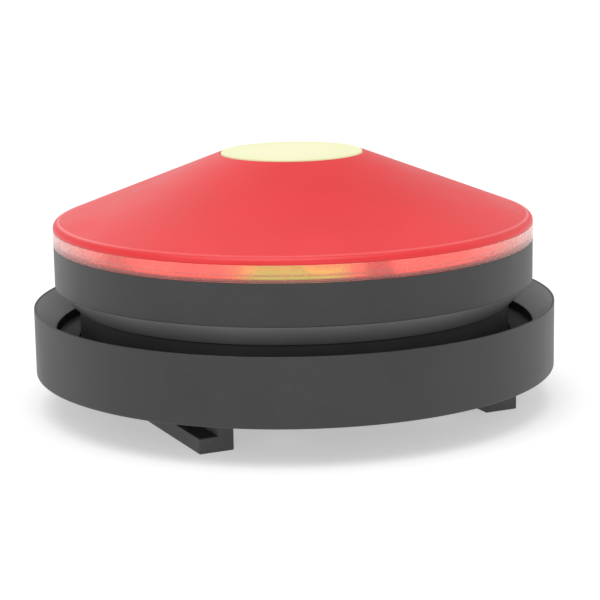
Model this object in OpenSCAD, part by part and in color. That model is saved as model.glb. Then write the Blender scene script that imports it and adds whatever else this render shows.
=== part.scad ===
// LED road flare: a sprung light head standing in a ring base on two dock rails.
// Millimetres. +Z is up, the origin is on the ground under the centre, the rails run along Y.

/* [Base] */
// Outer diameter of the base ring
base_d = 120; // [118:1:124]
// Height of the base ring
base_h = 15.3; // [15:0.1:18]
// Depth of the pocket that the head stands in
pocket_depth = 7.5; // [7:0.1:8]
// Width of the sloping rim of the pocket, and of the head's undercut
chamfer = 5; // [4:0.5:5.5]
// Depth of the sloping rim of the pocket
funnel_h = 5.2; // [4.8:0.1:5.5]
// Thickness of the base's bottom plate
plate_t = 1.8; // [1.6:0.1:2]
// Diameter of the opening that gives access to the battery cap
access_d = 56; // [54:1:58]

/* [Rails] */
// Height of the L-shaped rails
rail_h = 8.4; // [8:0.1:10]
// Length of the rails
rail_l = 70; // [60:1:76]
// Distance between the outer edges of the two rails
rail_span = 78; // [76:1:80]
// Width of a rail across its flange
rail_w = 8; // [7.5:0.1:9]
// Thickness of a rail's upright leg
leg_t = 3.7; // [3.4:0.1:3.9]
// Thickness of a rail's flange
flange_t = 3.5; // [3.2:0.1:4]

/* [Head] */
// Outer diameter of the head
head_d = 110; // [110:1:112]
// Diameter of the neck that slides in the base
neck_d = 99; // [97:0.5:99]
// Height of the dark shell above the base ring's rim
shell_h = 14.3; // [14:0.1:16]
// How far the head can be pressed down
press_travel = 3.8; // [3:0.1:3.8]
// Height of the clear band under the red lens
band_h = 3.7; // [3.5:0.1:5]

/* [Lens and button] */
// Height of the red lens above the band
lens_h = 15.95; // [15.5:0.05:17]
// Height of the lens's upright skirt, up to where its cone would start
skirt_h = 1.15; // [1.1:0.05:1.6]
// Radius of the rounded edge between skirt and cone
edge_r = 1.5; // [1:0.1:1.6]
// Wall of the lens
lens_t = 2.2; // [2:0.1:2.4]
// Diameter of the lit button in the top
button_d = 32.4; // [31:0.2:35.6]
// How far the button travels
button_travel = 1.2; // [0.8:0.1:1.2]

/* [Light] */
// Number of red emitters in the ring
red_count = 12; // [4:4:12]
// Radius of the ring of red emitters
red_ring_r = 36; // [34:0.5:37]
// Number of amber emitters under the light guide
amber_count = 6; // [4:1:8]

/* [Hidden] */
$fn = 96;
eps = 0.01;

dark_grey = [0.23, 0.23, 0.24];
lens_red = [0.86, 0.16, 0.17];
steel = [0.7, 0.7, 0.72];
rubber_black = [0.08, 0.08, 0.08];

// Base
base_r = base_d / 2;
wall = 2.5;
rim_land = 0.4;
z_plate = rail_h;
z_plate_top = z_plate + plate_t;
z_rim = rail_h + base_h;
z_ledge = z_rim - pocket_depth;
ledge_t = 2.5;
cavity_r = base_r - 4;
bore_clearance = 0.4;
wiper_h = 1.2;
wiper_depth = 1.4;
z_wiper = z_ledge - ledge_t + 0.7;

// Head
head_r = head_d / 2;
neck_r = neck_d / 2;
press_gap = 0.4;
z_cup = z_plate_top + press_travel + press_gap;
cup_floor_t = 2;
z_shell_top = z_rim + shell_h;
z_band_top = z_shell_top + band_h;
z_apex = z_band_top + lens_h;
throat_r = head_r - chamfer;
shell_lip_r = neck_r - 1.4;

// Lens cone
lens_lip = 0.4;
button_gap = 0.2;
button_r = button_d / 2;
lens_hole_r = button_r + button_gap;
apex_r = lens_hole_r + lens_lip;
z_corner = z_band_top + skirt_h;
cone_angle = atan((z_apex - z_corner) / (head_r - apex_r));
edge_run = edge_r * tan((90 - cone_angle) / 2);
edge_steps = 8;

// Places that repeat
screw_ring_r = 42.5;
lens_screw_angles = [0, 90, 180, 270];
spring_x = 19;
spring_y = 33;
plate_screw_r = (neck_r + bore_clearance + cavity_r) / 2;
plate_screw_count = 6;
rail_inner = rail_span / 2 - rail_w;
rail_screw_x = rail_inner + leg_t / 2;
rail_screw_y = 25;
magnet_x = rail_span / 2 - rail_w / 2;
magnet_y = 12;
magnet_r = 3;
magnet_t = 2;

// Electronics
board_t = 1.6;
board_r = 49.8;
z_board = z_shell_top - 3;
z_board_top = z_board + board_t;
guide_r = 12;
guide_wall = 3.5;
dome_h = 3;
amber_ring_r = 9.9;
reflector_t = 0.8;
reflector_gap = 0.6;
z_reflector = z_board_top + reflector_gap;

// Button
flange_h = 1.2;
button_proud = 0.35;
z_button_top = z_apex + button_proud;
button_h = 3.8;
z_flange_top = z_button_top - button_h;
z_flange = z_flange_top - flange_h;
z_guide_top = z_flange - button_travel - 0.5;
stem_r = 3;
flange_r = button_r + 1.7;

// Springs and shoulder screws
shoulder_r = 2.5;
thread_r = 1.9;
pocket_r = 5;
pocket_wall = 1.4;
pocket_h = 10;
z_pocket_top = z_cup + pocket_h;
boss_cap_t = 3;
wire_r = 0.5;
spring_r = 3.8;
spring_turns = 6;
spring_sides = 8;
spring_steps = 18;

// Battery
cap_r = 24.9;
cap_hole_r = 25.2;
cap_t = 2;
lug_r = 26.8;
lug_inner_r = 22.2;
lug_h = 1.1;
lug_rest_angle = -15;
cap_turn = 30;
lug_half_width = 7.5;
box_gap = 1.5;
box_in = 36.4;
box_wall = 1.5;
box_roof = 1;
z_box = z_cup + cup_floor_t + box_gap;
cell_r = 8.4;
cell_l = 34;
cell_x = 8.9;
z_cell = z_board - box_roof - 0.1 - cell_r;
contact_y = 17.8;
contact_t = 0.4;

module at_spring_posts() {
    for (sx = [-1, 1], sy = [-1, 1])
        translate([sx * spring_x, sy * spring_y, 0])
            children();
}

module at_lens_screws() {
    for (a = lens_screw_angles)
        rotate([0, 0, a])
            translate([screw_ring_r, 0, 0])
                children();
}

module around(count, radius, first = 0) {
    for (i = [0 : count - 1])
        rotate([0, 0, first + i * 360 / count])
            translate([radius, 0, 0])
                children();
}

module ring(z, height, outer, inner) {
    translate([0, 0, z])
        difference() {
            cylinder(h = height, r = outer);
            translate([0, 0, -eps])
                cylinder(h = height + 2 * eps, r = inner);
        }
}

module torus(z, major, minor) {
    translate([0, 0, z])
        rotate_extrude()
            translate([major, 0])
                circle(r = minor, $fn = 32);
}

// A sector of a disc, centred on an angle
module sector(z, height, outer, inner, middle, half_width) {
    translate([0, 0, z])
        rotate([0, 0, middle - half_width])
            rotate_extrude(angle = 2 * half_width)
                translate([inner, 0])
                    square([outer - inner, height]);
}

// Countersunk screw, head up, its flat face at z = 0
module countersunk_screw(head_r, head_h, shank_r, length) {
    translate([0, 0, -head_h])
        cylinder(h = head_h, r1 = shank_r, r2 = head_r);
    translate([0, 0, -length])
        cylinder(h = length - head_h + eps, r = shank_r);
}

module base_ring() {
    bore_r = neck_r + bore_clearance;
    z_under = z_ledge - ledge_t;
    color(dark_grey)
        difference() {
            union() {
                rotate_extrude()
                    polygon([
                        [cavity_r, z_plate],
                        [base_r, z_plate],
                        [base_r, z_rim],
                        [base_r - rim_land, z_rim],
                        [base_r - chamfer, z_rim - funnel_h],
                        [base_r - chamfer, z_ledge],
                        [bore_r, z_ledge],
                        [bore_r, z_under],
                        [cavity_r, z_under]
                    ]);
                around(plate_screw_count, plate_screw_r)
                    translate([0, 0, z_plate_top])
                        cylinder(h = z_under - z_plate_top + eps, r = 2.6);
            }
            ring(z_wiper, wiper_h, bore_r + wiper_depth, bore_r - 1);
            around(plate_screw_count, plate_screw_r)
                translate([0, 0, z_plate_top - 1])
                    cylinder(h = 4.2, r = 1.1);
        }
}

module base_plate() {
    color(dark_grey)
        difference() {
            translate([0, 0, z_plate])
                cylinder(h = plate_t, r = cavity_r - 0.1);
            translate([0, 0, z_plate - 1])
                cylinder(h = plate_t + 2, r = access_d / 2);
            at_spring_posts()
                translate([0, 0, z_plate - 1])
                    cylinder(h = plate_t + 2, r = shoulder_r + 0.3);
            around(plate_screw_count, plate_screw_r)
                translate([0, 0, z_plate])
                    rotate([180, 0, 0])
                        countersunk_hole();
            for (sx = [-1, 1], sy = [-1, 1])
                translate([sx * rail_screw_x, sy * rail_screw_y, z_plate_top])
                    countersunk_hole();
        }
}

module countersunk_hole() {
    translate([0, 0, -1.2])
        cylinder(h = 1.2, r1 = 1.1, r2 = 2.2);
    translate([0, 0, -4])
        cylinder(h = 4, r = 1.1);
    cylinder(h = 1, r = 2.2);
}

module plate_screws() {
    color(steel)
        around(plate_screw_count, plate_screw_r)
            translate([0, 0, z_plate])
                rotate([180, 0, 0])
                    difference() {
                        countersunk_screw(2.2, 1.2, 1.1, 4.4);
                        cross_recess(0.6);
                    }
}

module cross_recess(depth) {
    for (a = [0, 90])
        rotate([0, 0, a])
            translate([-1.2, -0.25, -depth])
                cube([2.4, 0.5, depth + 1]);
}

// One rail, with its leg towards the centre and its flange outwards, on the +X side
module rail() {
    color(dark_grey)
        difference() {
            translate([rail_inner, -rail_l / 2, 0])
                union() {
                    cube([rail_w, rail_l, flange_t]);
                    cube([leg_t, rail_l, rail_h]);
                }
            for (sy = [-1, 1]) {
                translate([rail_screw_x, sy * rail_screw_y, rail_h - 6])
                    cylinder(h = 7, r = 1.1);
                translate([magnet_x, sy * magnet_y, -1])
                    cylinder(h = magnet_t + 1.1, r = magnet_r + 0.02);
            }
        }
}

module rail_left() {
    mirror([1, 0, 0])
        rail();
}

module rail_right() {
    rail();
}

module rail_screws() {
    color(steel)
        for (sx = [-1, 1], sy = [-1, 1])
            translate([sx * rail_screw_x, sy * rail_screw_y, z_plate_top])
                difference() {
                    countersunk_screw(2.2, 1.2, 1.1, 7.2);
                    cross_recess(0.6);
                }
}

module rail_magnets() {
    color(steel)
        for (sx = [-1, 1], sy = [-1, 1])
            translate([sx * magnet_x, sy * magnet_y, 0.1])
                cylinder(h = magnet_t, r = magnet_r);
}

module neck_wiper() {
    color(rubber_black)
        ring(z_wiper, wiper_h, neck_r + bore_clearance + wiper_depth, neck_r + 0.1);
}

// Points of one spring: rings of a round wire swept along a helix
function spring_ring(t, height) =
    let (a = 360 * spring_turns * t, z = wire_r + (height - 2 * wire_r) * t)
    [for (k = [0 : spring_sides - 1])
        let (b = 360 * k / spring_sides, r = spring_r + wire_r * cos(b))
        [r * cos(a), r * sin(a), z + wire_r * sin(b)]];

module spring(height) {
    last = spring_turns * spring_steps;
    rings = [for (i = [0 : last]) spring_ring(i / last, height)];
    points = [for (r = rings) each r];
    sides = [for (i = [0 : last - 1], k = [0 : spring_sides - 1])
        let (n = (k + 1) % spring_sides, a = i * spring_sides, b = a + spring_sides)
        [a + k, b + k, b + n, a + n]];
    ends = [
        [for (k = [0 : spring_sides - 1]) k],
        [for (k = [spring_sides - 1 : -1 : 0]) last * spring_sides + k]
    ];
    polyhedron(points, concat(sides, ends), convexity = 8);
}

module return_springs() {
    color(steel)
        at_spring_posts()
            translate([0, 0, z_plate_top])
                spring(z_pocket_top - z_plate_top);
}

module head_shell() {
    color(dark_grey)
        rotate_extrude()
            polygon([
                [shell_lip_r, z_rim],
                [throat_r, z_rim],
                [head_r, z_rim + chamfer],
                [head_r, z_shell_top],
                [head_r - wall, z_shell_top],
                [head_r - wall, z_rim + chamfer + 1],
                [throat_r - 1, z_rim + wall],
                [shell_lip_r, z_rim + wall]
            ]);
}

module head_cup() {
    z_floor_top = z_cup + cup_floor_t;
    color(dark_grey)
        difference() {
            union() {
                translate([0, 0, z_cup])
                    difference() {
                        cylinder(h = z_rim - z_cup, r = neck_r);
                        translate([0, 0, cup_floor_t])
                            cylinder(h = z_rim - z_cup, r = neck_r - wall);
                    }
                at_spring_posts()
                    translate([0, 0, z_cup])
                        cylinder(h = pocket_h + boss_cap_t, r = pocket_r + pocket_wall);
                at_lens_screws()
                    translate([0, 0, z_cup])
                        cylinder(h = z_board - z_cup, r = 4.6);
            }
            at_spring_posts() {
                translate([0, 0, z_cup - 1])
                    cylinder(h = pocket_h + 1, r = pocket_r);
                translate([0, 0, z_cup])
                    cylinder(h = pocket_h + boss_cap_t + 1, r = thread_r);
            }
            at_lens_screws() {
                translate([0, 0, z_cup - 1])
                    cylinder(h = 12.6, r = 3.1);
                translate([0, 0, z_cup])
                    cylinder(h = z_board - z_cup + 1, r = 1.7);
            }
            translate([0, 0, z_cup - 1])
                cylinder(h = cup_floor_t + 2, r = cap_hole_r);
            for (half = [0, 180])
                sector(z_cup - 1, cup_floor_t + 2, lug_r + 0.3, lug_inner_r,
                       half + lug_rest_angle + cap_turn, lug_half_width + 1.5);
        }
}

module shoulder_screws() {
    color(steel)
        at_spring_posts()
            difference() {
                union() {
                    translate([0, 0, z_plate - 2.2])
                        cylinder(h = 2.2, r = 4.2);
                    translate([0, 0, z_plate - eps])
                        cylinder(h = z_pocket_top - z_plate + eps, r = shoulder_r);
                    translate([0, 0, z_pocket_top - eps])
                        cylinder(h = boss_cap_t, r = thread_r);
                }
                translate([0, 0, z_plate - 3])
                    cylinder(h = 2.2, r = 1.7, $fn = 6);
            }
}

module battery_box() {
    out = box_in + 2 * box_wall;
    height = z_board - z_box;
    color("ivory")
        translate([0, 0, z_box])
            difference() {
                translate([-out / 2, -out / 2, 0])
                    cube([out, out, height]);
                translate([-box_in / 2, -box_in / 2, -1])
                    cube([box_in, box_in, height + 1 - box_roof]);
                // slots that let the contact tabs up to the board
                for (sx = [-1, 1], sy = [-1, 1])
                    translate([sx * cell_x - 1.6, sy * contact_y - 0.4, height - box_roof - 1])
                        cube([3.2, 0.8, box_roof + 2]);
            }
}

module battery_cells() {
    color("gold")
        for (s = [-1, 1])
            translate([s * cell_x, 0, z_cell])
                rotate([s * 90, 0, 0]) {
                    translate([0, 0, -cell_l / 2])
                        cylinder(h = cell_l, r = cell_r);
                    translate([0, 0, cell_l / 2 - eps])
                        cylinder(h = 0.5, r = 3);
                }
}

module battery_contacts() {
    height = 12;
    color(steel)
        for (sx = [-1, 1], sy = [-1, 1])
            translate([sx * cell_x, sy * contact_y - contact_t / 2, 0]) {
                translate([-5, 0, z_cell - height / 2])
                    cube([10, contact_t, height]);
                translate([-1.4, 0, z_cell])
                    cube([2.8, contact_t, z_board - z_cell]);
            }
}

module led_board() {
    color("darkgreen")
        translate([0, 0, z_board])
            difference() {
                cylinder(h = board_t, r = board_r);
                at_lens_screws()
                    translate([0, 0, -1])
                        cylinder(h = board_t + 2, r = 1.7);
            }
}

module red_leds() {
    size = 4.6;
    color("crimson")
        around(red_count, red_ring_r, 180 / red_count)
            translate([0, 0, z_board_top]) {
                translate([-size / 2, -size / 2, 0])
                    cube([size, size, 1.2]);
                cylinder(h = 1.8, r = 1.9);
            }
}

module amber_leds() {
    size = 2;
    color("gold")
        around(amber_count, amber_ring_r)
            translate([-size / 2, -size / 2, z_board_top])
                cube([size, size, 0.8]);
}

module reflector() {
    color("white")
        difference() {
            union() {
                translate([0, 0, z_reflector])
                    cylinder(h = reflector_t, r = board_r);
                translate([0, 0, z_reflector])
                    cylinder(h = 5, r = guide_r + 2);
                ring(z_board_top, reflector_gap + eps, board_r, board_r - 1.4);
            }
            translate([0, 0, z_board_top - 1])
                cylinder(h = 9, r = guide_r + 0.1);
            around(red_count, red_ring_r, 180 / red_count)
                translate([0, 0, z_reflector - 1])
                    cylinder(h = 3, r = 3.4);
            at_lens_screws()
                translate([0, 0, z_reflector - 1])
                    cylinder(h = 3, r = 3.3);
        }
}

module light_guide() {
    foot_wall = 0.7;
    foot_h = 1.4;
    color("khaki") {
        ring(z_board_top + foot_h - eps, z_guide_top - z_board_top - foot_h,
             guide_r, guide_r - guide_wall);
        ring(z_board_top, foot_h, guide_r, guide_r - foot_wall);
    }
}

module light_band() {
    spigot_r = head_r - wall - 0.1;
    color([0.95, 0.62, 0.58])
        difference() {
            rotate_extrude()
                polygon([
                    [board_r + 0.8, z_board_top - 0.2],
                    [spigot_r, z_board_top - 0.2],
                    [spigot_r, z_shell_top],
                    [head_r, z_shell_top],
                    [head_r, z_band_top],
                    [head_r - wall, z_band_top],
                    [head_r - wall, z_shell_top + 1],
                    [board_r + 0.8, z_shell_top + 1]
                ]);
            ring(z_board_top + 0.1, 1, head_r, spigot_r - 0.8);
        }
}

module lens_oring() {
    color(rubber_black)
        torus(z_board_top + 0.6, head_r - wall - 0.45, 0.44);
}

// Height of the cone's outer surface at a radius, before the rounded edge
function cone_z(r) = z_corner + (head_r - r) * tan(cone_angle);
// The same for its inner surface
function cone_inner_z(r) = cone_z(r) - lens_t / cos(cone_angle);

module cone_lens() {
    edge = [for (i = [0 : edge_steps])
        let (a = (90 - cone_angle) * i / edge_steps)
        [head_r - edge_r + edge_r * cos(a), z_corner - edge_run + edge_r * sin(a)]];
    inner_r = head_r - wall;
    color(lens_red)
        difference() {
            union() {
                rotate_extrude()
                    polygon(concat(
                        [[inner_r, z_band_top], [head_r, z_band_top]],
                        edge,
                        [
                            [apex_r, z_apex],
                            [lens_hole_r, z_apex],
                            [lens_hole_r, cone_inner_z(lens_hole_r)],
                            [inner_r, cone_inner_z(inner_r)]
                        ]
                    ));
                at_lens_screws()
                    translate([0, 0, z_board_top])
                        cylinder(h = cone_inner_z(screw_ring_r) - z_board_top + 1, r = 3);
            }
            at_lens_screws()
                translate([0, 0, z_board_top - 1])
                    cylinder(h = 8, r = 1.4);
        }
}

module lens_screws() {
    z_seat = z_cup + 11.6;
    color(steel)
        at_lens_screws()
            difference() {
                union() {
                    translate([0, 0, z_seat - 2])
                        cylinder(h = 2, r = 2.75);
                    translate([0, 0, z_seat - eps])
                        cylinder(h = z_board_top + 6.5 - z_seat, r = 1.4);
                }
                translate([0, 0, z_seat - 2])
                    rotate([180, 0, 0])
                        cross_recess(1);
            }
}

module switch_dome() {
    color("gainsboro")
        translate([0, 0, z_board_top])
            rotate_extrude()
                polygon([[0, 0], [5, 0], [5, 0.6], [4, 0.8], [2.6, dome_h], [0, dome_h]]);
}

module top_button() {
    z_stem = z_board_top + dome_h + 0.1;
    color("lightyellow") {
        translate([0, 0, z_flange_top - eps])
            cylinder(h = button_h + eps, r = button_r);
        translate([0, 0, z_flange])
            cylinder(h = flange_h, r = flange_r);
        translate([0, 0, z_stem])
            cylinder(h = z_flange - z_stem + eps, r = stem_r);
    }
}

module button_seal() {
    color(rubber_black)
        ring(z_flange_top, 0.4, flange_r - 0.1, button_r + 0.05);
}

module battery_cap() {
    z_top = z_cup + cap_t;
    color(dark_grey)
        difference() {
            union() {
                translate([0, 0, z_cup])
                    cylinder(h = cap_t, r = cap_r);
                for (half = [0, 180]) {
                    sector(z_top - eps, lug_h + 2 * eps, cap_r, lug_inner_r,
                           half + lug_rest_angle, lug_half_width);
                    sector(z_top + 0.1, lug_h - 0.1 + eps, lug_r, lug_inner_r,
                           half + lug_rest_angle, lug_half_width);
                }
            }
            ring(z_cup + 0.5, 1.1, cap_r + 1, cap_r - 0.9);
            // coin slot
            translate([-9, -1.2, z_cup - 1])
                cube([18, 2.4, 1.9]);
        }
}

module cap_oring() {
    color(rubber_black)
        torus(z_cup + 1.05, cap_r - 0.4, 0.48);
}

base_ring();
base_plate();
plate_screws();
rail_left();
rail_right();
rail_screws();
rail_magnets();
neck_wiper();
return_springs();
head_shell();
head_cup();
shoulder_screws();
battery_box();
battery_cells();
battery_contacts();
led_board();
red_leds();
amber_leds();
reflector();
light_guide();
light_band();
lens_oring();
cone_lens();
lens_screws();
switch_dome();
top_button();
button_seal();
battery_cap();
cap_oring();
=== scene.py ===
import math

import bmesh
import bpy
from mathutils import Matrix, Vector


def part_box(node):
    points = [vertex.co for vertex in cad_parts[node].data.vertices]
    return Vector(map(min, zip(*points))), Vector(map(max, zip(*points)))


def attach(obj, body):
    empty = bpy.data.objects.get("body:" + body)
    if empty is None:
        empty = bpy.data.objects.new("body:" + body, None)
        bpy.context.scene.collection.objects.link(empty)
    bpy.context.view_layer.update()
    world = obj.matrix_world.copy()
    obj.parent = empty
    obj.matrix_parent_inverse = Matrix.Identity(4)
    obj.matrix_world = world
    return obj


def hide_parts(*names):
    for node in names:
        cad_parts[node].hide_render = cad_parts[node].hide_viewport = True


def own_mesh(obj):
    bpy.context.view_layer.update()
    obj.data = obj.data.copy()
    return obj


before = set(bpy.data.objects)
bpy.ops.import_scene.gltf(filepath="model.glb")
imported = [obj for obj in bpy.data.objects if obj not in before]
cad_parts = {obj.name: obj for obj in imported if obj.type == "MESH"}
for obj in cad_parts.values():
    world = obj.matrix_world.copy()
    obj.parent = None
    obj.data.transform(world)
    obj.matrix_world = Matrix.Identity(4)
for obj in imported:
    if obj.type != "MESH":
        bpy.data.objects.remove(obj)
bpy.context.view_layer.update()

scene = bpy.context.scene
mm = 0.001


def say(stage):
    print("road flare:", stage)


def reach(node):
    # how far a round node reaches from the light's axis
    low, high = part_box(node)
    return max(high.x, high.y, -low.x, -low.y)


def bottomOf(node):
    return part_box(node)[0].z


def topOf(node):
    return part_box(node)[1].z


camera = {
    "lens": 120,
    "turn": -25,            # degrees round the object
    "distance": 0.455,      # along the floor, from the axis
    "aboveRim": 0.0948,
    "down": 11.86,          # degrees below level
    "pan": 0.17,
    "roll": -0.97,
}


def makeCamera(c):
    data = bpy.data.cameras.new("camera")
    data.lens = c["lens"]
    data.sensor_width = 36
    data.clip_end = 50
    eye = bpy.data.objects.new("camera", data)
    turn = math.radians(c["turn"])
    place = Vector((math.sin(turn), -math.cos(turn), 0)) * c["distance"]
    place.z = topOf("base_ring") + c["aboveRim"]
    aim = (
        Matrix.Rotation(turn - math.radians(c["pan"]), 4, "Z")
        @ Matrix.Rotation(math.radians(90 - c["down"]), 4, "X")
        @ Matrix.Rotation(math.radians(c["roll"]), 4, "Z")
    )
    eye.matrix_world = Matrix.Translation(place) @ aim
    scene.collection.objects.link(eye)
    scene.camera = eye


studio = {
    "sky": (1.0, 1.0, 1.0),
    "skyStrength": 0.64,
    "skySeen": 1.05,        # how bright the sky looks to the camera
    "overhead": {"strength": 1.4, "spread": 50, "tilt": (8, -10)},
    "lamps": [              # name, place in metres, width, power
        ("frontLight", (-0.35, -1.25, 0.3), 0.8, 0.9),
        ("leftLight", (-1.3, -0.35, 0.75), 0.7, 0.6),
        ("rightLight", (1.15, -0.1, 0.6), 0.7, 0.5),
        ("backLight", (0.3, 1.3, 0.7), 0.8, 0.8),
    ],
    "floorColour": (0.6, 0.6, 0.6),
    "floorGlow": 0.46,
    "floorRoughness": 0.9,
    "floorSide": 12,
}


def areaLight(name, where, size, power):
    data = bpy.data.lights.new(name, "AREA")
    data.shape = "DISK"
    data.size = size
    data.energy = power
    lamp = bpy.data.objects.new(name, data)
    lamp.location = where
    lamp.rotation_euler = (-Vector(where)).to_track_quat("-Z", "Y").to_euler()
    scene.collection.objects.link(lamp)


def overheadLight(s):
    # a broad, even light from above, so that the floor stays pale all the way back
    data = bpy.data.lights.new("overheadLight", "SUN")
    data.energy = s["strength"]
    data.angle = math.radians(s["spread"])
    lamp = bpy.data.objects.new("overheadLight", data)
    lamp.rotation_euler = (math.radians(s["tilt"][0]), math.radians(s["tilt"][1]), 0)
    scene.collection.objects.link(lamp)


def seeThrough(paint):
    # the floor shows only from above, so that the underside can be looked at
    tree = paint.node_tree
    surface = addNode(tree, "ShaderNodeNewGeometry")
    clear = addNode(tree, "ShaderNodeBsdfTransparent")
    either = addNode(tree, "ShaderNodeMixShader")
    tree.links.new(surface.outputs["Backfacing"], either.inputs["Fac"])
    tree.links.new(tree.nodes["Principled BSDF"].outputs["BSDF"], either.inputs[1])
    tree.links.new(clear.outputs["BSDF"], either.inputs[2])
    tree.links.new(either.outputs["Shader"], tree.nodes["Material Output"].inputs["Surface"])


def makeStudio(s):
    world = bpy.data.worlds.new("studio")
    scene.world = world
    world.use_nodes = True
    sky = world.node_tree.nodes["Background"]
    sky.inputs["Color"].default_value = (*s["sky"], 1)
    path = addNode(world.node_tree, "ShaderNodeLightPath")
    strength = addNode(world.node_tree, "ShaderNodeMapRange")
    strength.inputs["To Min"].default_value = s["skyStrength"]
    strength.inputs["To Max"].default_value = s["skySeen"]
    world.node_tree.links.new(path.outputs["Is Camera Ray"], strength.inputs["Value"])
    world.node_tree.links.new(strength.outputs["Result"], sky.inputs["Strength"])
    overheadLight(s["overhead"])
    for lamp in s["lamps"]:
        areaLight(*lamp)
    half = s["floorSide"] / 2
    mesh = bpy.data.meshes.new("floor")
    corners = [(-half, -half, 0), (half, -half, 0), (half, half, 0), (-half, half, 0)]
    mesh.from_pydata(corners, [], [(0, 1, 2, 3)])
    floor = bpy.data.objects.new("floor", mesh)
    scene.collection.objects.link(floor)
    paint = newMaterial("floorPaint")
    shader = paint.node_tree.nodes["Principled BSDF"]
    shader.inputs["Base Color"].default_value = (*s["floorColour"], 1)
    shader.inputs["Roughness"].default_value = s["floorRoughness"]
    shader.inputs["Emission Color"].default_value = (1, 1, 1, 1)
    shader.inputs["Emission Strength"].default_value = s["floorGlow"]
    seeThrough(paint)
    mesh.materials.append(paint)
    scene.view_settings.view_transform = "Standard"


def newMaterial(name):
    material = bpy.data.materials.new(name)
    material.use_nodes = True
    return material


def addNode(tree, kind, **settings):
    node = tree.nodes.new(kind)
    for key, value in settings.items():
        setattr(node, key, value)
    return node


def newGroup(name, inputs, outputs):
    group = bpy.data.node_groups.new(name, "ShaderNodeTree")
    for label, kind, value in inputs:
        socket = group.interface.new_socket(label, in_out="INPUT", socket_type=kind)
        socket.default_value = value
    for label, kind in outputs:
        group.interface.new_socket(label, in_out="OUTPUT", socket_type=kind)
    start = group.nodes.new("NodeGroupInput")
    end = group.nodes.new("NodeGroupOutput")
    return group, start, end


def noiseOf(group, start, scaleSocket, detail):
    # noise on Object coordinates, so that it stays put on the piece
    where = addNode(group, "ShaderNodeTexCoord")
    noise = addNode(group, "ShaderNodeTexNoise")
    noise.inputs["Detail"].default_value = detail
    group.links.new(where.outputs["Object"], noise.inputs["Vector"])
    group.links.new(start.outputs[scaleSocket], noise.inputs["Scale"])
    return noise


def makeGrainGroup():
    # moulded plastic: spark-eroded grain, broad gloss changes, and a colour that drifts a little
    group, start, end = newGroup(
        "mouldedGrain",
        [
            ("Colour", "NodeSocketColor", (0.05, 0.05, 0.05, 1)),
            ("Light Colour", "NodeSocketColor", (0.08, 0.08, 0.08, 1)),
            ("Grain Scale", "NodeSocketFloat", 2600),
            ("Patch Scale", "NodeSocketFloat", 45),
            ("Rough Low", "NodeSocketFloat", 0.36),
            ("Rough High", "NodeSocketFloat", 0.5),
        ],
        [("Colour", "NodeSocketColor"), ("Roughness", "NodeSocketFloat"), ("Height", "NodeSocketFloat")],
    )
    grain = noiseOf(group, start, "Grain Scale", 2)
    patch = noiseOf(group, start, "Patch Scale", 4)
    drift = addNode(group, "ShaderNodeMapRange")
    drift.inputs["From Min"].default_value = 0.35
    drift.inputs["From Max"].default_value = 0.7
    mix = addNode(group, "ShaderNodeMix", data_type="RGBA")
    rough = addNode(group, "ShaderNodeMapRange")
    rough.inputs["From Min"].default_value = 0.3
    rough.inputs["From Max"].default_value = 0.7
    group.links.new(patch.outputs["Fac"], drift.inputs["Value"])
    group.links.new(drift.outputs["Result"], mix.inputs["Factor"])
    group.links.new(start.outputs["Colour"], mix.inputs["A"])
    group.links.new(start.outputs["Light Colour"], mix.inputs["B"])
    group.links.new(patch.outputs["Fac"], rough.inputs["Value"])
    group.links.new(start.outputs["Rough Low"], rough.inputs["To Min"])
    group.links.new(start.outputs["Rough High"], rough.inputs["To Max"])
    group.links.new(mix.outputs["Result"], end.inputs["Colour"])
    group.links.new(rough.outputs["Result"], end.inputs["Roughness"])
    group.links.new(grain.outputs["Fac"], end.inputs["Height"])
    return group


def makeDustGroup():
    # dust and fine scuffs that lie on faces turned upwards
    group, start, end = newGroup(
        "roadDust",
        [
            ("Colour", "NodeSocketColor", (0.05, 0.05, 0.05, 1)),
            ("Dust Colour", "NodeSocketColor", (0.3, 0.28, 0.25, 1)),
            ("Amount", "NodeSocketFloat", 0.2),
            ("Speck Scale", "NodeSocketFloat", 700),
        ],
        [("Colour", "NodeSocketColor")],
    )
    specks = noiseOf(group, start, "Speck Scale", 8)
    shape = addNode(group, "ShaderNodeMapRange")
    shape.inputs["From Min"].default_value = 0.52
    shape.inputs["From Max"].default_value = 0.78
    surface = addNode(group, "ShaderNodeNewGeometry")
    split = addNode(group, "ShaderNodeSeparateXYZ")
    upward = addNode(group, "ShaderNodeMapRange")
    upward.inputs["From Min"].default_value = -0.1
    upward.inputs["From Max"].default_value = 0.9
    both = addNode(group, "ShaderNodeMath", operation="MULTIPLY")
    scaled = addNode(group, "ShaderNodeMath", operation="MULTIPLY")
    mix = addNode(group, "ShaderNodeMix", data_type="RGBA")
    group.links.new(specks.outputs["Fac"], shape.inputs["Value"])
    group.links.new(surface.outputs["Normal"], split.inputs["Vector"])
    group.links.new(split.outputs["Z"], upward.inputs["Value"])
    group.links.new(shape.outputs["Result"], both.inputs[0])
    group.links.new(upward.outputs["Result"], both.inputs[1])
    group.links.new(both.outputs["Value"], scaled.inputs[0])
    group.links.new(start.outputs["Amount"], scaled.inputs[1])
    group.links.new(scaled.outputs["Value"], mix.inputs["Factor"])
    group.links.new(start.outputs["Colour"], mix.inputs["A"])
    group.links.new(start.outputs["Dust Colour"], mix.inputs["B"])
    group.links.new(mix.outputs["Result"], end.inputs["Colour"])
    return group


grainGroup = makeGrainGroup()
dustGroup = makeDustGroup()


def place(tree, group, **values):
    node = tree.nodes.new("ShaderNodeGroup")
    node.node_tree = group
    for label, value in values.items():
        node.inputs[label.replace("_", " ")].default_value = value
    return node


def rgba(colour):
    return (*colour, 1)


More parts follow.
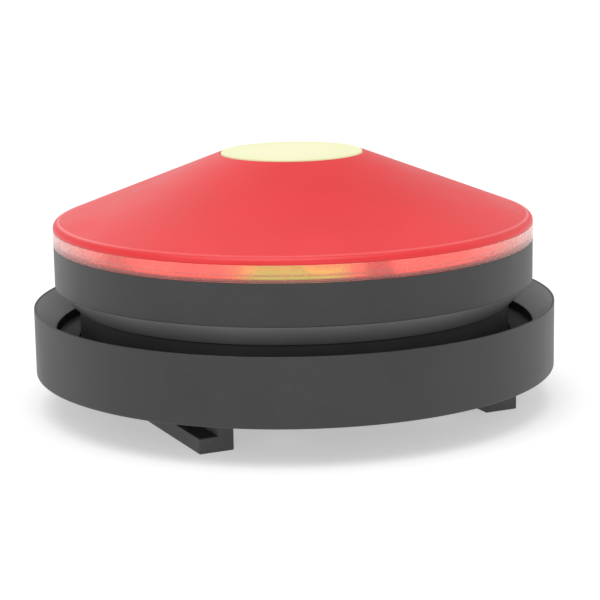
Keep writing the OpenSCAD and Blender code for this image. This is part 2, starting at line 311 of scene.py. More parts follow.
def grained(name, colour, lightColour, grain=2600, patch=45, rough=(0.36, 0.5), bump=0.00002,
            dust=0.15, dustColour=(0.3, 0.28, 0.25), **plain):
    # a Principled material built on the two groups; plain holds the shader's own fixed sockets
    material = newMaterial(name)
    tree = material.node_tree
    shader = tree.nodes["Principled BSDF"]
    skin = place(tree, grainGroup, Colour=rgba(colour), Light_Colour=rgba(lightColour),
                 Grain_Scale=grain, Patch_Scale=patch, Rough_Low=rough[0], Rough_High=rough[1])
    dirt = place(tree, dustGroup, Dust_Colour=rgba(dustColour), Amount=dust)
    relief = addNode(tree, "ShaderNodeBump")
    relief.inputs["Distance"].default_value = bump
    tree.links.new(skin.outputs["Colour"], dirt.inputs["Colour"])
    tree.links.new(dirt.outputs["Colour"], shader.inputs["Base Color"])
    tree.links.new(skin.outputs["Roughness"], shader.inputs["Roughness"])
    tree.links.new(skin.outputs["Height"], relief.inputs["Height"])
    tree.links.new(relief.outputs["Normal"], shader.inputs["Normal"])
    for label, value in plain.items():
        shader.inputs[label.replace("_", " ")].default_value = value
    return material


def glowBands(material, low, high, lowColour, highColour):
    # light from inside: emission that drifts from one colour at the axis to another at the rim
    tree = material.node_tree
    shader = tree.nodes["Principled BSDF"]
    where = addNode(tree, "ShaderNodeTexCoord")
    flat = addNode(tree, "ShaderNodeVectorMath", operation="MULTIPLY")
    flat.inputs[1].default_value = (1, 1, 0)        # leaves the height out
    radius = addNode(tree, "ShaderNodeVectorMath", operation="LENGTH")
    ramp = addNode(tree, "ShaderNodeMapRange", interpolation_type="SMOOTHSTEP")
    ramp.inputs["From Min"].default_value = low
    ramp.inputs["From Max"].default_value = high
    mix = addNode(tree, "ShaderNodeMix", data_type="RGBA")
    mix.inputs["A"].default_value = rgba(lowColour)
    mix.inputs["B"].default_value = rgba(highColour)
    tree.links.new(where.outputs["Object"], flat.inputs[0])
    tree.links.new(flat.outputs["Vector"], radius.inputs[0])
    tree.links.new(radius.outputs["Value"], ramp.inputs["Value"])
    tree.links.new(ramp.outputs["Result"], mix.inputs["Factor"])
    tree.links.new(mix.outputs["Result"], shader.inputs["Emission Color"])
    shader.inputs["Emission Strength"].default_value = 1


darkPlastic = grained("darkPlastic", (0.024, 0.024, 0.025), (0.034, 0.034, 0.035), rough=(0.4, 0.52))
railPlastic = grained("railPlastic", (0.05, 0.05, 0.052), (0.066, 0.066, 0.068), grain=2000,
                      rough=(0.42, 0.56), dust=0.3)
# painted light: a lighter copy of the dark plastic for the ring's funnel and the head's undercut, where
# the lamps leave them darker
satinPlastic = grained("satinPlastic", (0.19, 0.19, 0.191), (0.22, 0.22, 0.221), rough=(0.3, 0.42))
# painted shade: a near-black copy of the dark plastic for the ring pocket's wall and floor
pocketPlastic = grained("pocketPlastic", (0.006, 0.006, 0.006), (0.009, 0.009, 0.009),
                        rough=(0.62, 0.8), dust=0.02)
capPlastic = grained("capPlastic", (0.045, 0.045, 0.048), (0.06, 0.06, 0.063), grain=1500,
                     rough=(0.45, 0.6), bump=0.00004)
zincSteel = grained("zincSteel", (0.5, 0.5, 0.52), (0.66, 0.65, 0.62), grain=5200, patch=320,
                    rough=(0.22, 0.42), bump=0.000008, dust=0.1, Metallic=1.0)
springSteel = grained("springSteel", (0.34, 0.34, 0.36), (0.5, 0.49, 0.47), grain=4200, patch=500,
                      rough=(0.2, 0.36), bump=0.000006, dust=0, Metallic=1.0)
nickelMagnet = grained("nickelMagnet", (0.52, 0.51, 0.48), (0.63, 0.62, 0.59), grain=3000, patch=150,
                       rough=(0.16, 0.34), bump=0.000005, dust=0.15, Metallic=1.0)
contactNickel = grained("contactNickel", (0.6, 0.58, 0.5), (0.72, 0.7, 0.62), grain=3600, patch=240,
                        rough=(0.2, 0.35), bump=0.000005, dust=0, Metallic=1.0)
blackRubber = grained("blackRubber", (0.016, 0.016, 0.016), (0.026, 0.026, 0.026), grain=3400,
                      rough=(0.62, 0.8), bump=0.00002, dust=0.1)
paleSilicone = grained("paleSilicone", (0.6, 0.6, 0.58), (0.72, 0.72, 0.7), grain=1800,
                       rough=(0.5, 0.65), dust=0)
boxPlastic = grained("boxPlastic", (0.6, 0.6, 0.57), (0.7, 0.7, 0.67), grain=1400,
                     rough=(0.45, 0.6), dust=0)
cellSleeve = grained("cellSleeve", (0.55, 0.33, 0.05), (0.65, 0.42, 0.1), grain=900, patch=80,
                     rough=(0.2, 0.32), bump=0.000004, dust=0, Metallic=0.6)
boardMask = grained("boardMask", (0.01, 0.1, 0.035), (0.02, 0.17, 0.06), grain=1200, patch=260,
                    rough=(0.2, 0.35), bump=0.000015, dust=0, Coat_Weight=0.4)
emitterRed = grained("emitterRed", (0.7, 0.04, 0.03), (0.8, 0.08, 0.06), grain=2500, rough=(0.15, 0.25),
                     dust=0, Emission_Color=(1, 0.05, 0.03, 1), Emission_Strength=3)
emitterAmber = grained("emitterAmber", (0.8, 0.55, 0.1), (0.9, 0.66, 0.2), grain=2500, rough=(0.15, 0.25),
                       dust=0, Emission_Color=(1, 0.75, 0.2, 1), Emission_Strength=3)
metallised = grained("metallised", (0.82, 0.78, 0.78), (0.88, 0.86, 0.86), grain=700, patch=60,
                     rough=(0.08, 0.16), bump=0.000004, dust=0, Metallic=1.0)
guideAcrylic = grained("guideAcrylic", (0.1, 0.4, 0.16), (0.14, 0.46, 0.2), grain=1600,
                       rough=(0.3, 0.42), bump=0.00001, dust=0)
# painted glow: the band's faint red emission stands in for the light of the LEDs inside
clearBand = grained("clearBand", (0.98, 0.72, 0.68), (0.99, 0.8, 0.76), grain=420, patch=260,
                    rough=(0.22, 0.3), bump=0.000001, dust=0.02, dustColour=(0.95, 0.8, 0.78),
                    Transmission_Weight=0.97, IOR=1.45,
                    Emission_Color=(1, 0.34, 0.3, 1), Emission_Strength=0.08)
redLens = grained("redLens", (0.63, 0.01, 0.013), (0.67, 0.016, 0.02), grain=1900, patch=70,
                  rough=(0.34, 0.44), bump=0.00001, dust=0.03, dustColour=(0.8, 0.16, 0.16))
# painted highlight: a lighter, faintly glowing red for the line beside the lens's rounded edge
lensEdge = grained("lensEdge", (0.72, 0.055, 0.06), (0.76, 0.075, 0.08), grain=1900, patch=70,
                   rough=(0.2, 0.3), bump=0.000005, dust=0.03, dustColour=(0.85, 0.3, 0.3),
                   Emission_Color=(0.1, 0.02, 0.02, 1), Emission_Strength=1)
litInside = grained("litInside", (0.7, 0.05, 0.05), (0.75, 0.07, 0.06), grain=900, patch=110,
                    rough=(0.4, 0.5), bump=0.00003, dust=0)
litButton = grained("litButton", (0.3, 0.29, 0.14), (0.34, 0.33, 0.17), grain=1700,
                    rough=(0.35, 0.45), bump=0.000012, dust=0.03)

# painted glow: emission stands in for the LEDs' light on the lens, the lens's inner faces, the button and
# the light guide
glowBands(redLens, 0.03, 0.0549, (0.09, 0.0, 0.001), (0.13, 0.014, 0.016))
glowBands(litInside, 0.02, 0.052, (0.62, 0.06, 0.045), (0.7, 0.1, 0.08))
glowBands(litButton, 0.004, 0.0178, (0.52, 0.51, 0.35), (0.48, 0.5, 0.31))
glowBands(guideAcrylic, 0.008, 0.013, (0.27, 0.7, 0.02), (0.32, 0.76, 0.04))

say("materials made")

sharpAngle = 40         # degrees; corners sharper than this stay crisp
cutSharpAngle = 35      # the same on pieces that are cut or copied
pathRadius = 0.01       # the circle that an outline is carried round, in metres
mergeDistance = 1e-7
thinDistance = 1e-8
holdReach = 1.6         # how far beside a rounded corner its holding point sits, in setbacks


def flattened(source):
    # the evaluated object as one plain mesh; the object itself is dropped
    graph = bpy.context.evaluated_depsgraph_get()
    mesh = bpy.data.meshes.new_from_object(source.evaluated_get(graph), depsgraph=graph)
    mesh.name = source.name
    source.modifiers.clear()
    bpy.data.objects.remove(source)
    mesh.shade_smooth()
    mesh.set_sharp_from_angle(angle=math.radians(cutSharpAngle))
    return mesh


def newTree(name, inputs):
    tree = bpy.data.node_groups.new(name, "GeometryNodeTree")
    tree.interface.new_socket("Geometry", in_out="INPUT", socket_type="NodeSocketGeometry")
    for label, kind in inputs:
        tree.interface.new_socket(label, in_out="INPUT", socket_type=kind)
    tree.interface.new_socket("Geometry", in_out="OUTPUT", socket_type="NodeSocketGeometry")
    return tree, tree.nodes.new("NodeGroupInput"), tree.nodes.new("NodeGroupOutput")


def endTree(tree, start, end, shape):
    # every tree ends alike: copies made real, then the material
    real = tree.nodes.new("GeometryNodeRealizeInstances")
    paint = tree.nodes.new("GeometryNodeSetMaterial")
    tree.links.new(shape, real.inputs["Geometry"])
    tree.links.new(real.outputs["Geometry"], paint.inputs["Geometry"])
    tree.links.new(start.outputs["Material"], paint.inputs["Material"])
    tree.links.new(paint.outputs["Geometry"], end.inputs["Geometry"])


def copyToPoints(tree, start, end, points, source, turnBy=None):
    # one copy of the source on each point
    copies = tree.nodes.new("GeometryNodeInstanceOnPoints")
    tree.links.new(points, copies.inputs["Points"])
    tree.links.new(source, copies.inputs["Instance"])
    if turnBy is not None:
        tree.links.new(turnBy, copies.inputs["Rotation"])
    endTree(tree, start, end, copies.outputs["Instances"])


def latheTree():
    # an outline carried once round the Z axis, as a lathe would leave it
    tree, start, end = newTree("turnedOutline", [
        ("Outline", "NodeSocketObject"), ("Segments", "NodeSocketInt"),
        ("Path Radius", "NodeSocketFloat"), ("Material", "NodeSocketMaterial"),
    ])
    outline = tree.nodes.new("GeometryNodeObjectInfo")
    curve = tree.nodes.new("GeometryNodeMeshToCurve")
    path = tree.nodes.new("GeometryNodeCurvePrimitiveCircle")
    sweep = tree.nodes.new("GeometryNodeCurveToMesh")
    tree.links.new(start.outputs["Outline"], outline.inputs["Object"])
    tree.links.new(outline.outputs["Geometry"], curve.inputs["Mesh"])
    tree.links.new(start.outputs["Segments"], path.inputs["Resolution"])
    tree.links.new(start.outputs["Path Radius"], path.inputs["Radius"])
    tree.links.new(path.outputs["Curve"], sweep.inputs["Curve"])
    tree.links.new(curve.outputs["Curve"], sweep.inputs["Profile Curve"])
    endTree(tree, start, end, sweep.outputs["Mesh"])
    return tree


def circleTree():
    # copies of an object round a circle, each turned to face outwards
    tree, start, end = newTree("copiesOnCircle", [
        ("Copy", "NodeSocketObject"), ("Count", "NodeSocketInt"), ("Radius", "NodeSocketFloat"),
        ("First Angle", "NodeSocketFloat"), ("Height", "NodeSocketFloat"),
        ("Material", "NodeSocketMaterial"),
    ])
    circle = tree.nodes.new("GeometryNodeMeshCircle")
    angles = tree.nodes.new("ShaderNodeCombineXYZ")
    lift = tree.nodes.new("ShaderNodeCombineXYZ")
    move = tree.nodes.new("GeometryNodeTransform")
    where = tree.nodes.new("GeometryNodeInputPosition")
    flat = tree.nodes.new("ShaderNodeVectorMath")
    flat.operation = "MULTIPLY"
    flat.inputs[1].default_value = (1, 1, 0)
    facing = tree.nodes.new("FunctionNodeAlignRotationToVector")
    facing.axis = "X"
    facing.pivot_axis = "Z"
    copy = tree.nodes.new("GeometryNodeObjectInfo")
    tree.links.new(start.outputs["Count"], circle.inputs["Vertices"])
    tree.links.new(start.outputs["Radius"], circle.inputs["Radius"])
    tree.links.new(start.outputs["First Angle"], angles.inputs["Z"])
    tree.links.new(start.outputs["Height"], lift.inputs["Z"])
    tree.links.new(circle.outputs["Mesh"], move.inputs["Geometry"])
    tree.links.new(lift.outputs["Vector"], move.inputs["Translation"])
    tree.links.new(angles.outputs["Vector"], move.inputs["Rotation"])
    tree.links.new(where.outputs["Position"], flat.inputs[0])
    tree.links.new(flat.outputs["Vector"], facing.inputs["Vector"])
    tree.links.new(start.outputs["Copy"], copy.inputs["Object"])
    copyToPoints(tree, start, end, move.outputs["Geometry"], copy.outputs["Geometry"],
                 facing.outputs["Rotation"])
    return tree


def gridTree():
    # copies of an object at the four corners of a rectangle
    tree, start, end = newTree("copiesOnCorners", [
        ("Copy", "NodeSocketObject"), ("Spacing X", "NodeSocketFloat"), ("Spacing Y", "NodeSocketFloat"),
        ("Height", "NodeSocketFloat"), ("Material", "NodeSocketMaterial"),
    ])
    grid = tree.nodes.new("GeometryNodeMeshGrid")
    grid.inputs["Vertices X"].default_value = 2
    grid.inputs["Vertices Y"].default_value = 2
    lift = tree.nodes.new("ShaderNodeCombineXYZ")
    move = tree.nodes.new("GeometryNodeTransform")
    copy = tree.nodes.new("GeometryNodeObjectInfo")
    tree.links.new(start.outputs["Spacing X"], grid.inputs["Size X"])
    tree.links.new(start.outputs["Spacing Y"], grid.inputs["Size Y"])
    tree.links.new(start.outputs["Height"], lift.inputs["Z"])
    tree.links.new(grid.outputs["Mesh"], move.inputs["Geometry"])
    tree.links.new(lift.outputs["Vector"], move.inputs["Translation"])
    tree.links.new(start.outputs["Copy"], copy.inputs["Object"])
    copyToPoints(tree, start, end, move.outputs["Geometry"], copy.outputs["Geometry"])
    return tree


def coilTree():
    # a round-wire coil, at the four corners of a rectangle
    tree, start, end = newTree("coilsOnCorners", [
        ("Coil Radius", "NodeSocketFloat"), ("Wire Radius", "NodeSocketFloat"),
        ("Turns", "NodeSocketFloat"), ("Coil Height", "NodeSocketFloat"),
        ("Spacing X", "NodeSocketFloat"), ("Spacing Y", "NodeSocketFloat"),
        ("Height", "NodeSocketFloat"), ("Material", "NodeSocketMaterial"),
    ])
    spiral = tree.nodes.new("GeometryNodeCurveSpiral")
    spiral.inputs["Resolution"].default_value = 40
    wire = tree.nodes.new("GeometryNodeCurvePrimitiveCircle")
    wire.inputs["Resolution"].default_value = 12
    sweep = tree.nodes.new("GeometryNodeCurveToMesh")
    sweep.inputs["Fill Caps"].default_value = True
    grid = tree.nodes.new("GeometryNodeMeshGrid")
    grid.inputs["Vertices X"].default_value = 2
    grid.inputs["Vertices Y"].default_value = 2
    lift = tree.nodes.new("ShaderNodeCombineXYZ")
    move = tree.nodes.new("GeometryNodeTransform")
    tree.links.new(start.outputs["Turns"], spiral.inputs["Rotations"])
    tree.links.new(start.outputs["Coil Radius"], spiral.inputs["Start Radius"])
    tree.links.new(start.outputs["Coil Radius"], spiral.inputs["End Radius"])
    tree.links.new(start.outputs["Coil Height"], spiral.inputs["Height"])
    tree.links.new(start.outputs["Wire Radius"], wire.inputs["Radius"])
    tree.links.new(spiral.outputs["Curve"], sweep.inputs["Curve"])
    tree.links.new(wire.outputs["Curve"], sweep.inputs["Profile Curve"])
    tree.links.new(start.outputs["Spacing X"], grid.inputs["Size X"])
    tree.links.new(start.outputs["Spacing Y"], grid.inputs["Size Y"])
    tree.links.new(start.outputs["Height"], lift.inputs["Z"])
    tree.links.new(grid.outputs["Mesh"], move.inputs["Geometry"])
    tree.links.new(lift.outputs["Vector"], move.inputs["Translation"])
    copyToPoints(tree, start, end, move.outputs["Geometry"], sweep.outputs["Mesh"])
    return tree


def grow(name, tree, **values):
    # runs a tree with these inputs and returns the result as a plain mesh
    seed = bpy.data.objects.new(name, bpy.data.meshes.new(name))
    scene.collection.objects.link(seed)
    modifier = seed.modifiers.new(name, "NODES")
    modifier.node_group = tree
    sockets = {s.name: s.identifier for s in tree.interface.items_tree if s.in_out == "INPUT"}
    for label, value in values.items():
        modifier[sockets[label.replace("_", " ")]] = value
    return flattened(seed)


def template(name, mesh):
    shape = bpy.data.objects.new(name, mesh)
    scene.collection.objects.link(shape)
    return shape


turnedOutline = latheTree()
copiesOnCircle = circleTree()
copiesOnCorners = gridTree()
coilsOnCorners = coilTree()


def tidyMesh(mesh):
    work = bmesh.new()
    work.from_mesh(mesh)
    bmesh.ops.remove_doubles(work, verts=work.verts, dist=mergeDistance)
    bmesh.ops.dissolve_degenerate(work, dist=thinDistance, edges=work.edges)
    bmesh.ops.recalc_face_normals(work, faces=work.faces)
    work.to_mesh(mesh)
    work.free()
    mesh.shade_smooth()


def holdingDistance(setback, length):
    # how far from the corner the flat beside it is held, never past the middle of a short side
    return max(setback, min(setback * holdReach, length * 0.5))


def eased(corners, steps):
    # a closed outline of (radius, height, setback); a rounded corner has a holding point on each side
    outline = []
    count = len(corners)
    for i, (r, z, setback) in enumerate(corners):
        here = Vector((r, z))
        if setback <= 0:
            outline.append(here)
            continue
        before = Vector(corners[i - 1][:2]) - here
        after = Vector(corners[(i + 1) % count][:2]) - here
        a = here + before.normalized() * setback
        b = here + after.normalized() * setback
        outline.append(here + before.normalized() * holdingDistance(setback, before.length))
        for s in range(steps + 1):
            t = s / steps
            outline.append(a * (1 - t) ** 2 + here * 2 * t * (1 - t) + b * t ** 2)
        outline.append(here + after.normalized() * holdingDistance(setback, after.length))
    return outline


def turned(name, corners, material, segments, steps=5):
    # a closed outline in millimetres, turned round the Z axis
    outline = eased(corners, steps)
    count = len(outline)
    points = [(p.x * mm - pathRadius, -p.y * mm, 0) for p in outline]
    mesh = bpy.data.meshes.new(name + "Outline")
    mesh.from_pydata(points, [(i, (i + 1) % count) for i in range(count)], [])
    outlineShape = template(name + "Outline", mesh)
    solid = grow(name, turnedOutline, Outline=outlineShape, Segments=segments, Path_Radius=pathRadius,
                 Material=material)
    bpy.data.objects.remove(outlineShape)
    tidyMesh(solid)
    solid.set_sharp_from_angle(angle=math.radians(sharpAngle))
    return solid


def addPiece(name, mesh, body, slotName, *nodes):
    piece = bpy.data.objects.new(name, mesh)
    scene.collection.objects.link(piece)
    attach(piece, body)
    if nodes:
        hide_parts(*nodes)
    return piece


ring = {"rimLand": 0.4, "chamfer": 5, "funnel": 5.2, "ledge": 2.5, "pocket": 7.5, "bore": 49.9,
        "cavity": 56, "edge": 0.2, "footEdge": 0.5, "plainEdge": 0.3}


def makeBaseRing(d):
    outer = reach("base_ring") / mm
    foot, rim = bottomOf("base_ring") / mm, topOf("base_ring") / mm
    ledgeTop = rim - d["pocket"]
    under = ledgeTop - d["ledge"]
    corners = [
        (d["cavity"], foot, 0.2),
        (outer, foot, d["footEdge"]),
        (outer, rim, 0.16),
        (outer - d["rimLand"], rim, 0.12),
        (outer - d["chamfer"], rim - d["funnel"], d["edge"]),
        (outer - d["chamfer"], ledgeTop, 0.5),
        (d["bore"], ledgeTop, 0.2),
        (d["bore"], under, 0.1),
        (d["cavity"], under, 0.3),
    ]
    mesh = turned("baseRing", corners, darkPlastic, 320)
    mesh.materials.append(satinPlastic)
    mesh.materials.append(pocketPlastic)
    for face in mesh.polygons:
        height = face.center.z / mm
        radius = Vector(face.center[:2]).length / mm
        if 0.3 < face.normal.z < 0.95 and rim - d["funnel"] - d["edge"] < height < rim - d["plainEdge"]:
            face.material_index = 1     # the funnel, in the lighter plastic: painted light
        elif under < height < rim - d["funnel"] and face.normal.z > -0.5 and radius < outer - 1:
            face.material_index = 2     # the pocket's wall and floor, near black: painted shade
    addPiece("baseRing", mesh, "base", "base_shell", "base_ring")


shell = {"chamfer": 5, "wall": 2.5, "edge": 0.4, "lip": 48.1, "step": 1, "plainEdge": 0.3}


def makeHeadShell(d):
    outer = reach("head_shell") / mm
    low, high = bottomOf("head_shell") / mm, topOf("head_shell") / mm
    throat = outer - d["chamfer"]
    corners = [
        (d["lip"], low, 0.1),
        (throat, low, 0.25),
        (outer, low + d["chamfer"], d["edge"]),
        (outer, high, 0.14),
        (outer - d["wall"], high, 0.1),
        (outer - d["wall"], low + d["chamfer"] + d["step"], 0),
        (throat - d["step"], low + d["wall"], 0),
        (d["lip"], low + d["wall"], 0),
    ]
    mesh = turned("headShell", corners, darkPlastic, 320)
    mesh.materials.append(satinPlastic)
    for face in mesh.polygons:
        if -0.9 < face.normal.z < -0.5 and face.center.z > (low + d["plainEdge"]) * mm:
            face.material_index = 1     # the undercut, in the lighter plastic: painted light
    addPiece("headShell", mesh, "head", "head_shell", "head_shell")


band = {"wall": 2.5, "spigotTop": 1, "spigotInner": 50.6, "spigotGap": 0.1, "edge": 0.12}


def makeBand(d):
    outer = reach("light_band") / mm
    low, high = bottomOf("light_band") / mm, topOf("light_band") / mm
    seat = topOf("head_shell") / mm
    spigot = outer - d["wall"] - d["spigotGap"]
    corners = [
        (d["spigotInner"], low, 0),
        (spigot, low, 0.1),
        (spigot, seat, 0),
        (outer, seat, d["edge"]),
        (outer, high, d["edge"]),
        (outer - d["wall"], high, 0),
        (outer - d["wall"], seat + d["spigotTop"], 0),
        (d["spigotInner"], seat + d["spigotTop"], 0),
    ]
    mesh = turned("lightBand", corners, clearBand, 320)
    addPiece("lightBand", mesh, "head", "clear_band", "light_band")


button = {"faceRadius": 16.2, "faceHeight": 3.8, "flange": 1.2, "stem": 3, "edge": 0.35, "dish": 0.12,
          "dishRim": 1.6}
lens = {"skirt": 1.15, "edge": 1.02, "wall": 2.2, "skirtWall": 2.5, "lip": 0.4, "buttonGap": 0.2,
        "paintedHighlightLine": (0.95, 1.5)}      # millimetres in from the outside


def makeConeLens(d):
    outer = reach("cone_lens") / mm
    low, high = topOf("light_band") / mm, topOf("cone_lens") / mm
    hole = button["faceRadius"] + d["buttonGap"]
    top = hole + d["lip"]
    slope = (high - low - d["skirt"]) / (outer - top)
    drop = d["wall"] * math.sqrt(1 + slope * slope)
    inner = outer - d["skirtWall"]
    corners = [
        (inner, low, 0.05),
        (outer, low, 0.12),
        (outer, low + d["skirt"], d["edge"]),
        (top, high, 0.18),
        (hole, high, 0.12),
        (hole, low + d["skirt"] + (outer - hole) * slope - drop, 0.1),
        (inner, low + d["skirt"] + (outer - inner) * slope - drop, 0),
    ]
    mesh = turned("coneLens", corners, redLens, 320, 8)
    mesh.materials.append(litInside)
    mesh.materials.append(lensEdge)
    near, far = d["paintedHighlightLine"]
    for face in mesh.polygons:
        away = Vector((face.center.x, face.center.y, 0))
        radius = away.length / mm
        if outer - far < radius < outer - near and face.normal.z > 0.5:
            face.material_index = 2     # painted highlight: the light line beside the rounded edge
        if face.normal.z < -0.5 and radius < inner - 0.2:
            face.material_index = 1     # the lit inner faces
        elif face.normal.dot(away) < 0 and face.center.z > (low + 0.2) * mm and radius > top:
            face.material_index = 1
    addPiece("coneLens", mesh, "head", "red_lens", "cone_lens")


def makeButton(d):
    flangeRadius = reach("top_button") / mm
    low, high = bottomOf("top_button") / mm, topOf("top_button") / mm
    flangeTop = high - d["faceHeight"]
    corners = [
        (0, low, 0),
        (d["stem"], low, 0.3),
        (d["stem"], flangeTop - d["flange"], 0.4),
        (flangeRadius, flangeTop - d["flange"], 0.15),
        (flangeRadius, flangeTop, 0.15),
        (d["faceRadius"], flangeTop, 0.1),
        (d["faceRadius"], high, d["edge"]),
        (d["faceRadius"] - d["dishRim"], high - d["dish"], 0.3),
        (0, high - d["dish"], 0),
    ]
    mesh = turned("topButton", corners, litButton, 192)
    addPiece("topButton", mesh, "button", "lit_button", "top_button")


guide = {"foot": 3.5, "wall": 0.7, "footHeight": 1.4, "edge": 0.15}


def makeGuide(d):
    outer = reach("light_guide") / mm
    low, high = bottomOf("light_guide") / mm, topOf("light_guide") / mm
    inner = outer - d["foot"]
    corners = [
        (inner, low, 0),
        (outer, low, d["edge"]),
        (outer, high, d["edge"]),
        (outer - d["wall"], high, d["edge"]),
        (outer - d["wall"], low + d["footHeight"], 0.2),
        (inner, low + d["footHeight"], 0),
    ]
    mesh = turned("lightGuide", corners, guideAcrylic, 128)
    addPiece("lightGuide", mesh, "head", "light_guide", "light_guide")


makeCamera(camera)
makeStudio(studio)
say("camera and studio set")

makeBaseRing(ring)
makeHeadShell(shell)
makeBand(band)
makeConeLens(lens)
makeButton(button)
makeGuide(guide)
say("turned pieces made")

rail = {"leg": 3.7, "flange": 3.5, "edge": 0.3, "magnetRadius": 3.05, "magnetDepth": 2.15,
        "magnetY": 12, "overlap": 0.20215}


def makeRail(d, node, name):
    # an L-section bar with eased edges and two magnet recesses in its foot
    low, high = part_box(node)
    side = 1 if low.x > 0 else -1
    inner, outer = (low.x, high.x) if side > 0 else (high.x, low.x)
    leg = inner + side * d["leg"] * mm
    flange = low.z + d["flange"] * mm
    section = [(inner, low.z), (outer, low.z), (outer, flange),
               (leg, flange), (leg, high.z), (inner, high.z)]
    work = bmesh.new()
    face = work.faces.new([work.verts.new((x, low.y, z)) for x, z in section])
    grown = bmesh.ops.extrude_face_region(work, geom=[face])
    moved = [g for g in grown["geom"] if isinstance(g, bmesh.types.BMVert)]
    bmesh.ops.translate(work, verts=moved, vec=(0, high.y - low.y, 0))
    bmesh.ops.recalc_face_normals(work, faces=work.faces)
    mesh = bpy.data.meshes.new(name)
    work.to_mesh(mesh)
    work.free()
    bar = bpy.data.objects.new(name, mesh)
    scene.collection.objects.link(bar)
    soften = bar.modifiers.new("soften", "BEVEL")
    soften.width = d["edge"] * mm
    soften.segments = 4
    soften.limit_method = "ANGLE"
    plugs = bmesh.new()
    for y in (-d["magnetY"], d["magnetY"]):
        seat = Matrix.Translation(((low.x + high.x) / 2, y * mm, low.z + d["magnetDepth"] * mm / 2))
        bmesh.ops.create_cone(plugs, cap_ends=True, segments=64, radius1=d["magnetRadius"] * mm,
                              radius2=d["magnetRadius"] * mm, matrix=seat,
                              depth=(d["magnetDepth"] + d["overlap"]) * mm)
    plugMesh = bpy.data.meshes.new("plugs")
    plugs.to_mesh(plugMesh)
    plugs.free()
    cutter = bpy.data.objects.new("plugs", plugMesh)
    scene.collection.objects.link(cutter)
    cut = bar.modifiers.new("cut", "BOOLEAN")
    cut.object = cutter
    cut.operation = "DIFFERENCE"
    cut.solver = "EXACT"
    final = flattened(bar)
    bpy.data.objects.remove(cutter)
    final.materials.append(railPlastic)
    addPiece(name, final, "base", "rail", node)


makeRail(rail, "rail_left", "railLeft")
makeRail(rail, "rail_right", "railRight")
say("rails made")


def screwHead(name, profile, sockets, depth, segments=48):
    # a turned screw in millimetres, head at z = 0 and shank below, with a recess cut into its face
    head = template(name, turned(name, profile, zincSteel, segments, 3))
    tool = bmesh.new()
    for angle, width, length in sockets:
        block = Matrix.Rotation(math.radians(angle), 4, "Z") @ Matrix.Diagonal(
            (length * mm, width * mm, 2 * depth * mm, 1))
        bmesh.ops.create_cube(tool, size=1, matrix=block)
    toolMesh = bpy.data.meshes.new("recess")
    tool.to_mesh(toolMesh)
    tool.free()
    recess = template("recess", toolMesh)
    cut = head.modifiers.new("cut", "BOOLEAN")
    cut.object = recess
    cut.operation = "DIFFERENCE"
    cut.solver = "EXACT"
    cut.use_self = True
    mesh = flattened(head)
    bpy.data.objects.remove(recess)
    return mesh


def flipped(mesh):
    mesh.transform(Matrix.Rotation(math.pi, 4, "X"))
    return mesh


cadHead = 2.2           # the radius of a plate screw's head in the CAD model
plateScrew = {"count": 6, "ring": reach("plate_screws") / mm - cadHead, "head": 2.15, "headHeight": 1.2,
              "shank": 1.1, "length": 4.4}
railScrew = {"x": 32.85, "y": 25, "head": 2.15, "headHeight": 1.2, "shank": 1.1, "length": 7.2}
shoulderScrew = {"x": 19, "y": 33, "head": 4.2, "headHeight": 2.2, "shoulder": 2.5, "thread": 1.9,
                 "shoulderLength": 16, "threadLength": 3, "socket": 2.6, "socketDepth": 1.3}
lensScrew = {"count": 4, "ring": 42.5, "head": 2.75, "headHeight": 2, "shank": 1.4}
coil = {"radius": 3.8, "wire": 0.5, "turns": 7.0}
crossSlots = [(0, 0.5, 2.6), (90, 0.5, 2.6)]


def countersunk(name, d):
    return screwHead(name, [
        (0, 0, 0), (d["head"], 0, 0.1), (d["shank"], -d["headHeight"], 0.1),
        (d["shank"], -d["length"], 0.2), (0, -d["length"], 0),
    ], crossSlots, 0.6)


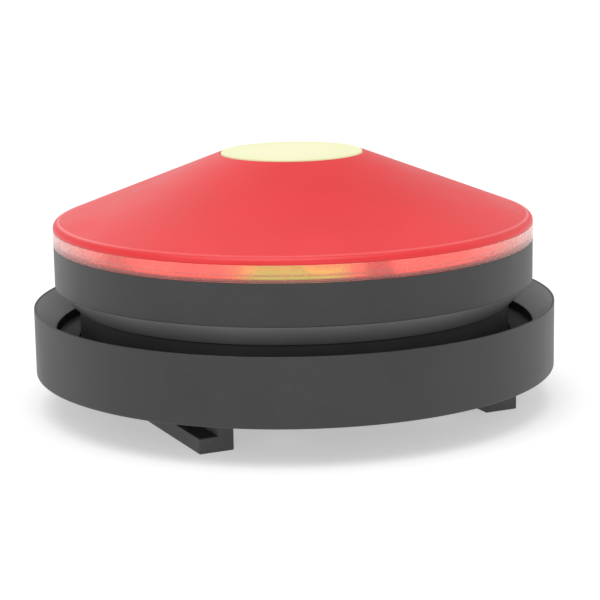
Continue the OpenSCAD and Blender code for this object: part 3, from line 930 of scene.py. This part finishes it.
def makeScrews():
    sunk = template("sunkScrew", flipped(countersunk("sunkScrew", plateScrew)))
    mesh = grow("plateScrews", copiesOnCircle, Copy=sunk, Count=plateScrew["count"],
                Radius=plateScrew["ring"] * mm, Height=bottomOf("base_plate"), Material=zincSteel)
    bpy.data.objects.remove(sunk)
    addPiece("plateScrews", mesh, "base", "steel", "plate_screws")

    upright = template("uprightScrew", countersunk("uprightScrew", railScrew))
    mesh = grow("railScrews", copiesOnCorners, Copy=upright, Spacing_X=2 * railScrew["x"] * mm,
                Spacing_Y=2 * railScrew["y"] * mm, Height=topOf("base_plate"), Material=zincSteel)
    bpy.data.objects.remove(upright)
    addPiece("railScrews", mesh, "base", "steel", "rail_screws")

    d = shoulderScrew
    hexSlots = [(angle, d["socket"] / math.sqrt(3), d["socket"]) for angle in (0, 60, 120)]
    threadStart = -d["headHeight"] - d["shoulderLength"]
    threadEnd = threadStart - d["threadLength"]
    bolt = template("shoulderBolt", flipped(screwHead("shoulderBolt", [
        (0, 0, 0), (d["head"], 0, 0.35), (d["head"], -d["headHeight"], 0.12),
        (d["shoulder"], -d["headHeight"], 0.1), (d["shoulder"], threadStart, 0.15),
        (d["thread"], threadStart, 0.1), (d["thread"], threadEnd, 0.2), (0, threadEnd, 0),
    ], hexSlots, d["socketDepth"], 72)))
    mesh = grow("shoulderScrews", copiesOnCorners, Copy=bolt, Spacing_X=2 * d["x"] * mm,
                Spacing_Y=2 * d["y"] * mm, Height=bottomOf("shoulder_screws"), Material=zincSteel)
    bpy.data.objects.remove(bolt)
    addPiece("shoulderScrews", mesh, "head", "steel", "shoulder_screws")

    d = lensScrew
    length = (topOf("lens_screws") - bottomOf("lens_screws")) / mm
    pan = template("panScrew", flipped(screwHead("panScrew", [
        (0, 0, 0), (d["head"], 0, 0.5), (d["head"], -d["headHeight"], 0.1),
        (d["shank"], -d["headHeight"], 0.1), (d["shank"], -length, 0.2), (0, -length, 0),
    ], crossSlots, 1)))
    mesh = grow("lensScrews", copiesOnCircle, Copy=pan, Count=d["count"], Radius=d["ring"] * mm,
                Height=bottomOf("lens_screws"), Material=zincSteel)
    bpy.data.objects.remove(pan)
    addPiece("lensScrews", mesh, "head", "steel", "lens_screws")


def makeSprings(d):
    low, high = bottomOf("return_springs"), topOf("return_springs")
    mesh = grow("returnSprings", coilsOnCorners, Coil_Radius=d["radius"] * mm, Wire_Radius=d["wire"] * mm,
                Turns=d["turns"], Coil_Height=high - low - 2 * d["wire"] * mm,
                Spacing_X=2 * shoulderScrew["x"] * mm, Spacing_Y=2 * shoulderScrew["y"] * mm,
                Height=low + d["wire"] * mm, Material=springSteel)
    springs = addPiece("returnSprings", mesh, "base", "spring_steel", "return_springs")
    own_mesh(springs)


dome = {"foot": 5, "footHeight": 0.6, "shoulder": 4, "shoulderRise": 0.2, "top": 2.6, "pressed": 0.6}


def makeDome(d):
    low, high = bottomOf("switch_dome") / mm, topOf("switch_dome") / mm
    footTop = low + d["footHeight"]
    mesh = turned("switchDome", [
        (0, low, 0), (d["foot"], low, 0.1), (d["foot"], footTop, 0.15),
        (d["shoulder"], footTop + d["shoulderRise"], 0.15), (d["top"], high, 0.3), (0, high, 0),
    ], paleSilicone, 96)
    piece = addPiece("switchDome", mesh, "head", "silicone", "switch_dome")
    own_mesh(piece)


posts = {"radius": 3, "edge": 0.1, "intoLens": 4}


def makePosts(d):
    # the lens's four screw posts, which reach down to the board beside the clear band
    low = bottomOf("cone_lens")
    height = (topOf("light_band") - low) / mm + d["intoLens"]
    post = template("post", turned("post", [
        (0, 0, 0), (d["radius"], 0, d["edge"]), (d["radius"], height, 0), (0, height, 0),
    ], redLens, 48, 3))
    mesh = grow("lensPosts", copiesOnCircle, Copy=post, Count=lensScrew["count"],
                Radius=lensScrew["ring"] * mm, Height=low, Material=redLens)
    bpy.data.objects.remove(post)
    addPiece("lensPosts", mesh, "head", "red_lens")


makeScrews()
makeSprings(coil)
makeDome(dome)
makePosts(posts)
say("screws, springs and posts made")

keptMaterials = {
    "base_plate": darkPlastic,
    "rail_magnets": nickelMagnet,
    "neck_wiper": blackRubber,
    "head_cup": darkPlastic,
    "battery_box": boxPlastic,
    "battery_cells": cellSleeve,
    "battery_contacts": contactNickel,
    "led_board": boardMask,
    "red_leds": emitterRed,
    "amber_leds": emitterAmber,
    "reflector": metallised,
    "lens_oring": blackRubber,
    "button_seal": blackRubber,
    "battery_cap": capPlastic,
    "cap_oring": blackRubber,
}

for node, material in keptMaterials.items():
    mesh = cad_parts[node].data
    mesh.materials.clear()
    mesh.materials.append(material)

say("all pieces done")
